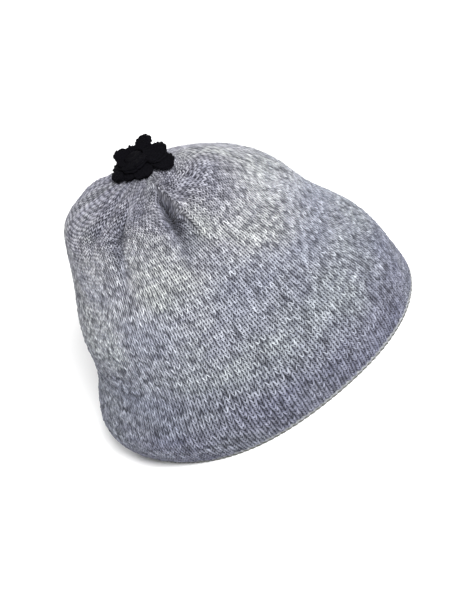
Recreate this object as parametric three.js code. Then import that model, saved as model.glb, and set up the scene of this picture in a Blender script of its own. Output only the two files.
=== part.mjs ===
// A hand-knitted beanie that stands on its rim: a hollow stockinette wall gathered at the crown,
// a chain edging round the rim, and a black crocheted rosette of two tiers of petals on the gathers.
// Millimetres, +Z up. The origin is on the surface that the rim rests on, under the middle of the hat.
// Seen from the front, which is -Y, the crown leans to the left, which is -X.
import * as THREE from "three";

// The knitted wall
const WALL = 2.6;
const GAP = 0.3;
const COLUMNS = 88;
const ROWS = 22;

// The wall's columns stand closer together round the creases of the front, and its rows near the crown.
const CLOSEST_COLUMNS_AZIMUTH = 246;
const COLUMN_CLOSENESS = 0.52;
const ROW_CLOSENESS = 1.35;

// The chain edging round the rim
const EDGING_HEIGHT = 3.4;
const EDGING_PROUD = 0.3;
const EDGING_CORNER = 0.6;
const EDGING_COLUMNS = 64;

// The wall's thickness is measured level at the rim, and square with its face from a little higher.
const LEVEL_NORMAL = { upTo: 0.03, squareFrom: 0.15 };

// The gathered ring under the rosette
const GATHER = { x: -3.3, y: 1.1, pole: 150.4, end: 1.07 };
const SMALL_PLEATS = 21;
const SMALL_PLEAT_DEPTH = 1.3;
const SMALL_PLEAT_START = 0.86;

// Level sections of the wall's outer face, from the rim to the gathered ring. "at" is the share of
// the way up the wall, each section is an oval about its own centre, and "slope" is its rise per
// millimetre towards +X.
const SECTIONS = [
  { at: 0.0, z: 0.0, halfLength: 96.3, halfWidth: 80.9, centreX: 4.5, centreY: -0.8, slope: 0 },
  { at: 0.15, z: 22.3, halfLength: 100.6, halfWidth: 86.6, centreX: -1.6, centreY: -0.5, slope: 0 },
  { at: 0.32, z: 49.1, halfLength: 91.8, halfWidth: 80.9, centreX: 1.1, centreY: -0.2, slope: 0 },
  { at: 0.5, z: 80.4, halfLength: 79.7, halfWidth: 72.1, centreX: -4.0, centreY: 0.2, slope: 0 },
  { at: 0.66, z: 110.5, halfLength: 67.0, halfWidth: 62.0, centreX: -4.3, centreY: 0.5, slope: 0 },
  { at: 0.8, z: 135.0, halfLength: 49.8, halfWidth: 47.3, centreX: -12.0, centreY: 0.7, slope: -0.05 },
  { at: 0.9, z: 143.9, halfLength: 35.9, halfWidth: 34.0, centreX: -15.0, centreY: 0.9, slope: -0.1 },
  { at: 1.0, z: 148.2, halfLength: 19.5, halfWidth: 19.1, centreX: -5.9, centreY: 1.1, slope: -0.09 },
  { at: 1.07, z: 149.6, halfLength: 10.0, halfWidth: 10.0, centreX: -3.7, centreY: 1.1, slope: -0.06 },
];

// The soft rim stands in gentle waves, which die out up the wall.
const RIM_WAVE_TOP = 0.4;
const RIM_WAVES = [
  { lobes: 2, depth: 0.9, azimuth: -15 },
  { lobes: 3, depth: 0.8, azimuth: -44 },
  { lobes: 4, depth: 1.2, azimuth: -15 },
  { lobes: 5, depth: 1.2, azimuth: 14 },
];

// Folds that run out from the gathers. Azimuths are degrees about the gathered ring, from +X
// towards +Y. "before" and "after" are the slopes' widths in degrees on the two sides of the crease,
// "depth" is in millimetres, less than nothing for a puff, and "reach" and "turn" are the share of
// the wall and the degrees that the crease runs and swings through on its way down.
const FOLDS = [
  { azimuth: 218, before: 4.5, after: 6, depth: 10.5, reach: 0.4, turn: -6 },
  { azimuth: 201, before: 4.5, after: 5.5, depth: 6.5, reach: 0.29, turn: -6 },
  { azimuth: 238, before: 4, after: 5, depth: 1.6, reach: 0.15, turn: 0 },
  { azimuth: 276, before: 7, after: 9, depth: 1.4, reach: 0.44, turn: -3 },
  { azimuth: 310, before: 5, after: 6, depth: 3.2, reach: 0.23, turn: -14 },
  { azimuth: 326, before: 7, after: 7, depth: 1.5, reach: 0.15, turn: 3 },
  { azimuth: 352, before: 8, after: 7, depth: 1.8, reach: 0.19, turn: 4 },
  { azimuth: 25, before: 8, after: 8, depth: 1.4, reach: 0.16, turn: 2 },
  { azimuth: 55, before: 8, after: 7, depth: 1.8, reach: 0.18, turn: -3 },
  { azimuth: 86, before: 9, after: 9, depth: 3.6, reach: 0.23, turn: 4 },
  { azimuth: 112, before: 8, after: 8, depth: 4.2, reach: 0.27, turn: 6 },
  { azimuth: 138, before: 7, after: 7, depth: 2.2, reach: 0.19, turn: 3 },
  { azimuth: 163, before: 6, after: 6, depth: 1.8, reach: 0.17, turn: 0 },
  { azimuth: 185, before: 5, after: 5, depth: 1.6, reach: 0.15, turn: -3 },
  { azimuth: 138, before: 20, after: 24, depth: -3.6, reach: 0.15, turn: 0 },
];

// The big tuck of the front. Its crease starts at an azimuth of the ring and swings as it runs out.
// From the crease its floor fans out to a raised lip, "narrowest" to "fan" degrees away.
const TUCK = { azimuth: 261, turn: -11, reach: 0.4, depth: 14, before: 6.5, fan: 22, narrowest: 3 };
const TUCK_LIP = { height: 1.6, width: 2.4 };

// How sharply a crease closes, how soon it deepens on its way down, and how fast it fades at its ends
const FOLD_SHAPE = { sharpness: 1.5, early: 0.6, fade: 1.5 };
const TUCK_SHAPE = { sharpness: 1.3, early: 0.6, fade: 1.2, floor: 2.6 };

// Shallow hollows in the standing wall, placed by a turn about the hat and a height.
const DENTS = [
  { azimuth: 188, height: 36, width: 16, tall: 20, depth: 1.6 },
  { azimuth: 246, height: 70, width: 14, tall: 34, depth: 1.4 },
  { azimuth: 318, height: 58, width: 18, tall: 26, depth: 1.6 },
  { azimuth: 40, height: 64, width: 20, tall: 30, depth: 2.2 },
  { azimuth: 104, height: 48, width: 18, tall: 30, depth: 2.0 },
];

// The rosette, with heights above the knitted crown. "tipRadius" and "tipHeight" place the middle of
// a petal's tip, "lift" raises the middle of its spine, and "ruffle" lifts one side of its edge.
const PETAL_THICKNESS = 2.6;
const PETAL_STATIONS = 8;
const PETAL_SECTION_POINTS = 12;
const PETAL_FLATNESS = 0.6;
const PETAL_TIP_ROUNDNESS = 7;
const PETAL_BELLY = 0.1;
const CROWN_LEVEL = 149.0;
const ROOT_RADIUS = 6.4;
const LOWER_ROOT_HEIGHT = 5.2;
const UPPER_ROOT_HEIGHT = 9.0;
const LOWER_PETALS = [
  { azimuth: 307, halfAngle: 17, tipRadius: 22.4, tipHeight: 0.2, lift: 2.8, ruffle: 0.5 },
  { azimuth: 260, halfAngle: 23.5, tipRadius: 14.2, tipHeight: 1.8, lift: 2.4, ruffle: -0.4 },
  { azimuth: 210, halfAngle: 23, tipRadius: 12.0, tipHeight: 2.6, lift: 2.0, ruffle: 0.4 },
  { azimuth: 161, halfAngle: 24, tipRadius: 15.6, tipHeight: 3.2, lift: 2.6, ruffle: -0.4 },
  { azimuth: 111, halfAngle: 24, tipRadius: 17.0, tipHeight: 3.0, lift: 2.6, ruffle: 0.4 },
  { azimuth: 61, halfAngle: 24, tipRadius: 17.5, tipHeight: 2.6, lift: 2.6, ruffle: -0.4 },
  { azimuth: 8, halfAngle: 24, tipRadius: 15.5, tipHeight: 1.8, lift: 2.6, ruffle: 0.4 },
];
const UPPER_PETALS = [
  { azimuth: 321, halfAngle: 28, tipRadius: 19.6, tipHeight: 6.2, lift: 0.8, ruffle: 0.6 },
  { azimuth: 20, halfAngle: 22, tipRadius: 15.4, tipHeight: 12.8, lift: -1.0, ruffle: -0.5 },
  { azimuth: 64, halfAngle: 18, tipRadius: 11.8, tipHeight: 9.8, lift: -0.6, ruffle: 0.5 },
  { azimuth: 110, halfAngle: 24, tipRadius: 11.0, tipHeight: 13.6, lift: -1.2, ruffle: 0.6 },
  { azimuth: 172, halfAngle: 33, tipRadius: 9.8, tipHeight: 10.0, lift: 0.2, ruffle: -0.5 },
  { azimuth: 249, halfAngle: 39, tipRadius: 12.5, tipHeight: 9.0, lift: 0.6, ruffle: 0.5 },
];
const EYE_RADIUS = 5.5;
const EYE_HEIGHT = 10.8;
const EYE_FOOT_CORNER = 0.8;
const EYE_SHOULDER_HEIGHT = 9.2;
const EYE_DOME = { nearEdge: 4.3, nearEdgeHeight: 10.3, crest: 2.3, middleHeight: 10.1 };
const EYE_SEGMENTS = 20;

const GREY_WOOL = new THREE.MeshStandardMaterial({ color: 0x8e8f9a, roughness: 0.95, metalness: 0 });
const EDGE_WOOL = new THREE.MeshStandardMaterial({ color: 0x9a9b9f, roughness: 0.95, metalness: 0 });
const BLACK_WOOL = new THREE.MeshStandardMaterial({ color: 0x121217, roughness: 0.95, metalness: 0 });

const radians = THREE.MathUtils.degToRad;
const clamp = THREE.MathUtils.clamp;

// A natural cubic spline through one column of the sections.
function spline(column) {
  const at = SECTIONS.map((row) => row.at);
  const y = SECTIONS.map((row) => row[column]);
  const last = at.length - 1;
  const bend = new Array(last + 1).fill(0);
  const share = new Array(last + 1).fill(0);
  for (let i = 1; i < last; i++) {
    const ratio = (at[i] - at[i - 1]) / (at[i + 1] - at[i - 1]);
    const pivot = ratio * bend[i - 1] + 2;
    const slopes = (y[i + 1] - y[i]) / (at[i + 1] - at[i]) - (y[i] - y[i - 1]) / (at[i] - at[i - 1]);
    bend[i] = (ratio - 1) / pivot;
    share[i] = ((6 * slopes) / (at[i + 1] - at[i - 1]) - ratio * share[i - 1]) / pivot;
  }
  bend[last] = 0;
  for (let i = last - 1; i >= 0; i--) bend[i] = bend[i] * bend[i + 1] + share[i];
  return (t) => {
    let i = 0;
    while (i < last - 1 && t > at[i + 1]) i++;
    const step = at[i + 1] - at[i];
    const p = (at[i + 1] - t) / step;
    const q = (t - at[i]) / step;
    const curve = ((p ** 3 - p) * bend[i] + (q ** 3 - q) * bend[i + 1]) * (step * step) / 6;
    return p * y[i] + q * y[i + 1] + curve;
  };
}

const sectionZ = spline("z");
const sectionHalfLength = spline("halfLength");
const sectionHalfWidth = spline("halfWidth");
const sectionCentreX = spline("centreX");
const sectionCentreY = spline("centreY");
const sectionSlope = spline("slope");

function rimWave(t, angle) {
  const share = Math.max(0, 1 - t / RIM_WAVE_TOP) ** 2;
  let out = 0;
  for (const wave of RIM_WAVES) out += wave.depth * Math.cos(wave.lobes * (angle - radians(wave.azimuth)));
  return out * share;
}

// A point of the smooth outer face, before folds and dents.
function smoothPoint(t, turn) {
  const angle = 2 * Math.PI * turn;
  const out = rimWave(t, angle);
  const fromCentre = (sectionHalfLength(t) + out) * Math.cos(angle);
  const x = sectionCentreX(t) + fromCentre;
  const y = sectionCentreY(t) + (sectionHalfWidth(t) + out) * Math.sin(angle);
  return new THREE.Vector3(x, y, sectionZ(t) + sectionSlope(t) * fromCentre);
}

// The outward direction in which the wall's thickness and folds are measured.
function outwardNormal(t, turn) {
  const step = 0.002;
  const alongTurn = smoothPoint(t, turn + step).sub(smoothPoint(t, turn - step));
  const alongRise = smoothPoint(Math.min(t + step, GATHER.end), turn).sub(smoothPoint(t - step, turn));
  const normal = alongTurn.cross(alongRise);
  const tilt = THREE.MathUtils.smoothstep(t, LEVEL_NORMAL.upTo, LEVEL_NORMAL.squareFrom);
  return normal.setZ(normal.z * tilt).normalize();
}

// The signed angle from one azimuth to another, in degrees, between -180 and 180.
function angleBetween(from, to) {
  return ((((to - from) % 360) + 540) % 360) - 180;
}

function azimuthAbout(point, centre) {
  return THREE.MathUtils.radToDeg(Math.atan2(point.y - centre.y, point.x - centre.x));
}

function fade(down, shape) {
  return Math.pow(Math.sin(Math.PI * Math.pow(down, shape.early)), shape.fade);
}

function crease(off, width, shape) {
  return Math.exp(-Math.pow(Math.abs(off) / width, shape.sharpness));
}

function tuckDepth(t, azimuth) {
  const down = clamp((1 - t) / TUCK.reach, 0, 1);
  const off = angleBetween(TUCK.azimuth + TUCK.turn * down, azimuth);
  const lipAt = Math.max(TUCK.fan * down, TUCK.narrowest);
  const floor = 1 - Math.pow(clamp(off / lipAt, 0, 1), TUCK_SHAPE.floor);
  const hollow = off < 0 ? crease(off, TUCK.before, TUCK_SHAPE) : floor;
  const lip = TUCK_LIP.height * Math.exp(-(((off - lipAt) / TUCK_LIP.width) ** 2));
  return (TUCK.depth * hollow - lip) * fade(down, TUCK_SHAPE);
}

function foldDepth(t, azimuth) {
  let depth = tuckDepth(t, azimuth);
  for (const fold of FOLDS) {
    const down = clamp((1 - t) / fold.reach, 0, 1);
    const off = angleBetween(fold.azimuth + fold.turn * down, azimuth);
    const width = off < 0 ? fold.before : fold.after;
    depth += fold.depth * crease(off, width, FOLD_SHAPE) * fade(down, FOLD_SHAPE);
  }
  return depth;
}

// Small pleats run with the wales, as narrow ridges that die out down the crown.
function smallPleatDepth(t, turn) {
  const share = THREE.MathUtils.smoothstep(t, SMALL_PLEAT_START, 1);
  return SMALL_PLEAT_DEPTH * share * 0.5 * (1 + Math.cos(2 * Math.PI * turn * SMALL_PLEATS));
}

function dentDepth(point) {
  let depth = 0;
  for (const dent of DENTS) {
    const off = angleBetween(dent.azimuth, azimuthAbout(point, { x: 0, y: 0 })) / dent.width;
    const up = (point.z - dent.height) / dent.tall;
    depth += dent.depth * Math.exp(-off * off - up * up);
  }
  return depth;
}

// A point of the folded wall, "inset" millimetres in from its outer face.
function wallPoint(t, turn, inset) {
  const point = smoothPoint(t, turn);
  const azimuth = azimuthAbout(point, GATHER);
  const sunk = foldDepth(t, azimuth) + smallPleatDepth(t, turn) + dentDepth(point);
  return point.addScaledVector(outwardNormal(t, turn), -sunk - inset);
}

function columnTurn(column) {
  const even = column / COLUMNS;
  const closest = CLOSEST_COLUMNS_AZIMUTH / 360;
  return even - (COLUMN_CLOSENESS * Math.sin(2 * Math.PI * (even - closest))) / (2 * Math.PI);
}

function wallRing(t, inset) {
  return Array.from({ length: COLUMNS }, (_, i) => wallPoint(t, columnTurn(i), inset));
}

// A closed mesh from rings of points in order. A ring of one point is a pole, and a looped list of
// rings joins its last ring to its first. Each four-sided field is split along its shorter diagonal.
function stitchRings(rings, looped = false) {
  const starts = [];
  const points = [];
  for (const ring of rings) {
    starts.push(points.length);
    points.push(...ring);
  }
  const triangles = [];
  const joints = looped ? rings.length : rings.length - 1;
  for (let k = 0; k < joints; k++) {
    const next = (k + 1) % rings.length;
    const count = Math.max(rings[k].length, rings[next].length);
    for (let i = 0; i < count; i++) {
      const j = (i + 1) % count;
      const a = starts[k] + (rings[k].length > 1 ? i : 0);
      const b = starts[k] + (rings[k].length > 1 ? j : 0);
      const c = starts[next] + (rings[next].length > 1 ? i : 0);
      const d = starts[next] + (rings[next].length > 1 ? j : 0);
      const field = a !== b && c !== d;
      if (field && points[a].distanceTo(points[d]) < points[b].distanceTo(points[c])) {
        triangles.push(a, c, d);
        triangles.push(a, d, b);
        continue;
      }
      if (a !== b) triangles.push(a, c, b);
      if (c !== d) triangles.push(b, c, d);
    }
  }
  const positions = points.flatMap((point) => point.toArray());
  const geometry = new THREE.BufferGeometry();
  geometry.setAttribute("position", new THREE.Float32BufferAttribute(positions, 3));
  geometry.setIndex(triangles);
  geometry.computeVertexNormals();
  return geometry;
}

function namedMesh(name, geometry, material) {
  const mesh = new THREE.Mesh(geometry, material);
  mesh.name = name;
  return mesh;
}

// The share of the wall at which its outer face reaches a height near the rim.
function shareAtHeight(height) {
  let t = 0;
  while (sectionZ(t) < height) t += 0.0005;
  return t;
}

// The hollow knitted wall: down the outer face from its pole, round the rim, and up the inner face.
function knitBody() {
  const rimShare = shareAtHeight(EDGING_HEIGHT + GAP);
  const share = (row) => GATHER.end + (rimShare - GATHER.end) * (row / ROWS) ** ROW_CLOSENESS;
  const outerPole = new THREE.Vector3(GATHER.x, GATHER.y, GATHER.pole);
  const innerPole = new THREE.Vector3(GATHER.x, GATHER.y, GATHER.pole - WALL);
  const rings = [[outerPole]];
  for (let row = 0; row <= ROWS; row++) rings.push(wallRing(share(row), 0));
  for (let row = ROWS; row >= 0; row--) rings.push(wallRing(share(row), WALL));
  rings.push([innerPole]);
  return namedMesh("knit_body", stitchRings(rings), GREY_WOOL);
}

// The chain edging: one ring with a flat foot, whose section is a box with cut corners.
function rimEdging() {
  const outside = EDGING_PROUD;
  const inside = -WALL - EDGING_PROUD;
  const top = EDGING_HEIGHT;
  const cut = EDGING_CORNER;
  const section = [
    { out: outside - cut, up: 0 },
    { out: outside, up: cut },
    { out: outside, up: top - cut },
    { out: outside - cut, up: top },
    { out: inside + cut, up: top },
    { out: inside, up: top - cut },
    { out: inside, up: cut },
    { out: inside + cut, up: 0 },
  ];
  const rings = [];
  for (let i = 0; i < EDGING_COLUMNS; i++) {
    const turn = i / EDGING_COLUMNS;
    const ring = section.map(({ out, up }) => {
      const t = shareAtHeight(up);
      const outward = outwardNormal(t, turn);
      const sunk = dentDepth(smoothPoint(t, turn));
      return smoothPoint(t, turn).addScaledVector(outward, out - sunk).setZ(up);
    });
    rings.push(ring);
  }
  return namedMesh("rim_edging", stitchRings(rings, true), EDGE_WOOL);
}

// One petal: a cupped pad swept out from its root, whose halves follow the round of the rosette.
function petal(name, rootHeight, row) {
  const middleRadius = (ROOT_RADIUS + row.tipRadius) / 2;
  const middleHeight = (rootHeight + row.tipHeight) / 2 + row.lift;
  const spine = new THREE.QuadraticBezierCurve(
    new THREE.Vector2(ROOT_RADIUS, rootHeight),
    new THREE.Vector2(middleRadius, middleHeight),
    new THREE.Vector2(row.tipRadius, row.tipHeight),
  );
  const place = (radius, height, degrees) => {
    const x = GATHER.x + radius * Math.cos(radians(degrees));
    const y = GATHER.y + radius * Math.sin(radians(degrees));
    return new THREE.Vector3(x, y, CROWN_LEVEL + height);
  };
  const pointOn = (u, across, side) => {
    const middle = spine.getPoint(u);
    const along = spine.getTangent(u);
    const belly = 1 - PETAL_BELLY + PETAL_BELLY * Math.sin(Math.PI * u);
    const outline = Math.sqrt(Math.max(0, 1 - u ** PETAL_TIP_ROUNDNESS)) * belly;
    const offset = (side * PETAL_THICKNESS) / 2;
    const wave = row.ruffle * u * Math.sin(Math.PI * across);
    const radius = middle.x - along.y * offset;
    const height = middle.y + along.x * offset + wave;
    return place(radius, height, row.azimuth + row.halfAngle * outline * across);
  };
  const root = spine.getPoint(0);
  const tip = spine.getPoint(1);
  const rings = [[place(root.x, root.y, row.azimuth)]];
  for (let station = 0; station < PETAL_STATIONS; station++) {
    const u = Math.sin((Math.PI / 2) * (station / PETAL_STATIONS));
    const ring = Array.from({ length: PETAL_SECTION_POINTS }, (_, i) => {
      const angle = (-2 * Math.PI * i) / PETAL_SECTION_POINTS;
      const side = Math.sign(Math.sin(angle)) * Math.pow(Math.abs(Math.sin(angle)), PETAL_FLATNESS);
      return pointOn(u, Math.cos(angle), side);
    });
    rings.push(ring);
  }
  rings.push([place(tip.x, tip.y, row.azimuth)]);
  return namedMesh(name, stitchRings(rings), BLACK_WOOL);
}

// The worked eye that carries the petals, a stub with a domed top.
function rosetteEye() {
  const foot = GATHER.pole - CROWN_LEVEL + GAP;
  const profile = [
    new THREE.Vector2(0, foot),
    new THREE.Vector2(EYE_RADIUS - EYE_FOOT_CORNER, foot),
    new THREE.Vector2(EYE_RADIUS, foot + EYE_FOOT_CORNER),
    new THREE.Vector2(EYE_RADIUS, EYE_SHOULDER_HEIGHT),
    new THREE.Vector2(EYE_DOME.nearEdge, EYE_DOME.nearEdgeHeight),
    new THREE.Vector2(EYE_DOME.crest, EYE_HEIGHT),
    new THREE.Vector2(0, EYE_DOME.middleHeight),
  ];
  const mesh = namedMesh("rosette_eye", new THREE.LatheGeometry(profile, EYE_SEGMENTS), BLACK_WOOL);
  mesh.rotation.x = Math.PI / 2;
  mesh.position.set(GATHER.x, GATHER.y, CROWN_LEVEL);
  return mesh;
}

const beanie = new THREE.Group();
beanie.add(knitBody(), rimEdging(), rosetteEye());
LOWER_PETALS.forEach((row, i) => beanie.add(petal(`lower_petal_${i + 1}`, LOWER_ROOT_HEIGHT, row)));
UPPER_PETALS.forEach((row, i) => beanie.add(petal(`upper_petal_${i + 1}`, UPPER_ROOT_HEIGHT, row)));

export default beanie;
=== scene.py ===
import math

import bpy
import numpy as np
from mathutils import Matrix, Vector


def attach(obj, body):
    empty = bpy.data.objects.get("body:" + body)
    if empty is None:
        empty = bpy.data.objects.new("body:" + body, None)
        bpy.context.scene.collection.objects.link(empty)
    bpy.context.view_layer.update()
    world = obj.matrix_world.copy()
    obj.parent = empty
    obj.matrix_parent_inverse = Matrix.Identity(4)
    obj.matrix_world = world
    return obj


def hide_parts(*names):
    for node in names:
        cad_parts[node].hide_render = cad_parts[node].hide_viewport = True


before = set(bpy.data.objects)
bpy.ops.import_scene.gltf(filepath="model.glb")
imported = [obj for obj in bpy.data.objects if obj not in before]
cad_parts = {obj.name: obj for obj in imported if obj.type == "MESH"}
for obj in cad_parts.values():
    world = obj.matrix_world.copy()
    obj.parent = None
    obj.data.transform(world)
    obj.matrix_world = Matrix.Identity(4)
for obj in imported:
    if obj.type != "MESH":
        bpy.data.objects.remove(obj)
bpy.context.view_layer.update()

# A hand-knitted beanie that stands on its rim. The wall's form is worked out in millimetres from
# the same sections, folds and dents as the solid part, and every stitch is raised on it.
MM = 0.001

# The knitted wall: its thickness, the shares of its rise over which its normals turn from level to
# square, the step that they are measured with, the gathered ring and the small pleats round it
WALL = 2.6
SQUARE_NORMALS = (0.03, 0.15)
NORMAL_STEP = 0.002
GATHER_X = -3.3
GATHER_Y = 1.1
GATHER_POLE = 150.4
GATHER_END = 1.07
SMALL_PLEATS = 21
SMALL_PLEAT_DEPTH = 1.3
SMALL_PLEAT_START = 0.86

# Level sections of the outer face, from the rim to the gathered ring
SECTION_COLUMNS = ("at", "z", "half_length", "half_width", "centre_x", "centre_y", "slope")
SECTIONS = np.array([
    (0.0, 0.0, 96.3, 80.9, 4.5, -0.8, 0),
    (0.15, 22.3, 100.6, 86.6, -1.6, -0.5, 0),
    (0.32, 49.1, 91.8, 80.9, 1.1, -0.2, 0),
    (0.5, 80.4, 79.7, 72.1, -4.0, 0.2, 0),
    (0.66, 110.5, 67.0, 62.0, -4.3, 0.5, 0),
    (0.8, 135.0, 49.8, 47.3, -12.0, 0.7, -0.05),
    (0.9, 143.9, 35.9, 34.0, -15.0, 0.9, -0.1),
    (1.0, 148.2, 19.5, 19.1, -5.9, 1.1, -0.09),
    (1.07, 149.6, 10.0, 10.0, -3.7, 1.1, -0.06),
])

# Gentle waves of the soft rim: lobes, depth, azimuth
RIM_WAVE_TOP = 0.4
RIM_WAVES = [(2, 0.9, -15), (3, 0.8, -44), (4, 1.2, -15), (5, 1.2, 14)]

# Folds that run out from the gathers: azimuth, before, after, depth, reach, turn. Then how
# sharply a crease closes, how soon it deepens on its way down, and how fast it fades at its ends
FOLDS = [
    (218, 4.5, 6, 10.5, 0.40, -6),
    (201, 4.5, 5.5, 6.5, 0.29, -6),
    (238, 4, 5, 1.6, 0.15, 0),
    (276, 7, 9, 1.4, 0.44, -3),
    (310, 5, 6, 3.2, 0.23, -14),
    (326, 7, 7, 1.5, 0.15, 3),
    (352, 8, 7, 1.8, 0.19, 4),
    (25, 8, 8, 1.4, 0.16, 2),
    (55, 8, 7, 1.8, 0.18, -3),
    (86, 9, 9, 3.6, 0.23, 4),
    (112, 8, 8, 4.2, 0.27, 6),
    (138, 7, 7, 2.2, 0.19, 3),
    (163, 6, 6, 1.8, 0.17, 0),
    (185, 5, 5, 1.6, 0.15, -3),
    (138, 20, 24, -3.6, 0.15, 0),
]
FOLD_SHARPNESS = 1.5
FOLD_EARLY = 0.6
FOLD_FADE = 1.5

# The big tuck of the front: its crease starts at an azimuth of the ring and swings as it runs out,
# and its floor rises from the crease to a lip that fans away from it
TUCK_AZIMUTH = 261.0
TUCK_SWING = -11.0
TUCK_REACH = 0.40
TUCK_DEPTH = 14.0
TUCK_BEFORE = 6.5
TUCK_FAN = 22.0
TUCK_NARROWEST = 3.0
TUCK_FLOOR = 2.6
TUCK_LIP = 1.6
TUCK_LIP_WIDTH = 2.4
TUCK_SHARPNESS = 1.3
TUCK_FADE = 1.2

# Shallow hollows in the standing wall: azimuth, height, width in degrees, tall, depth
DENTS = [
    (188, 36, 16, 20, 1.6),
    (246, 70, 14, 34, 1.4),
    (318, 58, 18, 26, 1.6),
    (40, 64, 20, 30, 2.2),
    (104, 48, 18, 30, 2.0),
]

# The knitting: wales run up the wall, and courses, which are laid off on lines up it, run round it
WALES = 148
WALE_WIDTH = 3.74
SECTOR_NAMES = ("knit_right_back", "knit_left_back", "knit_left_front", "knit_right_front")
FIRST_WALE_TURN = -14 / 360
RIM_START = 1.0
COURSE_AT_RIM = 2.02
COURSE_AT_CROWN = 2.36
COURSE_LINES = 12
COURSE_LINE_POINTS = 1200

# Steps of the knit and purl faces' grids to a stitch
OUTER_ACROSS = 6
OUTER_UP = 4
INNER_ACROSS = 3
INNER_UP = 2

# The middle line that the wales keep to on their way up, and where they leave it for the ring
MIDLINE_AT = (0, 0.32, 0.66, 0.9)
MIDLINE_X = (2.5, 1.2, -4.0, -9.0)
MIDLINE_END = (0.8, 0.95)

# Past the ring the last courses are drawn in to the pole
POLE_COURSES = 4
POLE_DRAW = 0.93

# How unevenly the stitches are worked: cells of noise up the wall and round it, and its strength in
# stitches. The unevenness comes in above the rim and goes out below the pole.
SEED = 31
LOOSE_WALES = [(30, 74, 0.09), (85, 148, 0.05)]
LOOSE_COURSES = [(28, 40, 0.20), (80, 148, 0.10)]
PLUMPNESS = [(90, 296, 0.30)]
LOOSE_RIM_END = (0.2, 2.5)
LOOSE_POLE_END = (3, 0.5)

# The stitches' relief: its height, a leg's rise in courses, where the crown's flatter stitches come
# in, how round a leg is, the relief that lies level with the wall, the width between wales at
# which it is full, and the rim's turned-in start
STITCH_RELIEF = 0.80
LEG_RISE = 1.5
LEG_RISE_AT_CROWN = 0.8
DIP_AT_CROWN = 0.5
CROWN_STITCHES = (0.62, 0.85)
LEG_ROUNDNESS = 1.5
LEVEL_RELIEF = 0.7
FULL_WALE = 3.4
SQUEEZE_RANGE = (0.1, 1.1)
WORKED_FROM = (0.4, 1.6)
START_TUCKED = 1.6

# The purl face inside: the height of its bumps, how far it stands proud of the solid's inner face,
# and how far the shade painted into its hollows is lifted
PURL_RELIEF = 0.45
INNER_PROUD = 0.3
PURL_HOLLOW_PAINTED_SHADE_LIFT = 0.6

# Across half a wale, from its middle to its edge: the height of a leg's crest and of the dip
# between two legs. The legs stand in two ridges, and the holes of the knitting lie between them.
LEG_AT = (0, 1 / 3, 2 / 3, 1)
LEG_CREST = (0.84, 1.0, 1.0, 0.72)
LEG_DIP = (-0.1, 0.78, 0.74, -0.1)

# As the crown narrows, the wales of the front stay wide and those of the back crowd together:
# azimuth, width in degrees, share. Then the levels between which this comes in, its strength, the
# azimuth that stays in place, and the table of it, which is read to just short of its last row.
EASED = [(308, 42, 1.0), (95, 60, -0.7)]
EASE_FROM = 0.66
EASE_TO = 0.88
EASE = 0.62
EASE_ANCHOR = 266
EASE_LEVELS = np.linspace(EASE_FROM, GATHER_END, 120)
EASE_TURNS = np.linspace(0, 1, 1441)
EASE_LAST_ROW = len(EASE_LEVELS) - 1.001

# Where the outer and inner faces lie on the map that the finish is baked on
OUTER_MAP = (0.005, 0.77)
INNER_MAP = (0.78, 0.995)
MAP_HEIGHT = (0.005, 0.995)

# The chain worked round the rim: a link to each wale
LINK_POINTS = 18
LINK_SIDES = 6
LINK_YARN = 0.66
LINK_REACH = 1.5
LINK_HALF_WIDTH = 0.88
LINK_CENTRE_OUT = -0.70
LINK_CENTRE_UP = 1.62
LINK_LEAN = 20
LINK_NARROW_END = 0.42
LINK_WIDE_FROM = 0.75
LINK_MIDDLE = 0.45
LINK_LIFT = 0.75
LINK_MAP_COLUMNS = 12
LINK_MAP_ROWS = 13
LINK_MAP_MARGIN = 0.05
LINK_LEAD = (0.3, 0.2, 1.0)
LINK_GUIDE = (0, 0.2, 400)

# The rosette's petals: their section and outline, their grids, and the posts and knots on them.
# Their yarn runs a little past their reach.
PETAL_THICKNESS = 3.0
PETAL_FLATNESS = 0.6
PETAL_OVERLAP = 1.4
PETAL_TIP_ROUNDNESS = 7
PETAL_BELLY = 0.1
PETAL_STATIONS = 40
PETAL_SECTION_POINTS = 56
PETAL_ENDS = (0.02, 0.995)
PETAL_POSTS = 5
PETAL_YARN_PAST = 4
PETAL_YARN_ACROSS = 6
BLACK_MAP_MARGIN = 0.02
KNOT_LENGTH = 2.3
KNOT_HEIGHT = 1.25
POST_SHARE = 0.45
POST_ROUNDNESS = 0.7
KNOT_ROUNDNESS = 0.8

# A petal lies about the gathered ring, and its heights are above the crown: azimuth, half angle,
# tip radius, tip height, lift, ruffle
CROWN_LEVEL = 149.0
ROOT_RADIUS = 6.4
LOWER_ROOT_HEIGHT = 5.2
UPPER_ROOT_HEIGHT = 9.0
LOWER_PETALS = [
    (307, 17, 22.4, 0.2, 2.8, 0.5),
    (260, 23.5, 14.2, 1.8, 2.4, -0.4),
    (210, 23, 12.0, 2.6, 2.0, 0.4),
    (161, 24, 15.6, 3.2, 2.6, -0.4),
    (111, 24, 17.0, 3.0, 2.6, 0.4),
    (61, 24, 17.5, 2.6, 2.6, -0.4),
    (8, 24, 15.5, 1.8, 2.6, 0.4),
]
UPPER_PETALS = [
    (321, 28, 19.6, 6.2, 0.8, 0.6),
    (20, 22, 15.4, 12.8, -1.0, -0.5),
    (64, 18, 11.8, 9.8, -0.6, 0.5),
    (110, 24, 11.0, 13.6, -1.2, 0.6),
    (172, 33, 9.8, 10.0, 0.2, -0.5),
    (249, 39, 12.5, 9.0, 0.6, 0.5),
]

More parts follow.
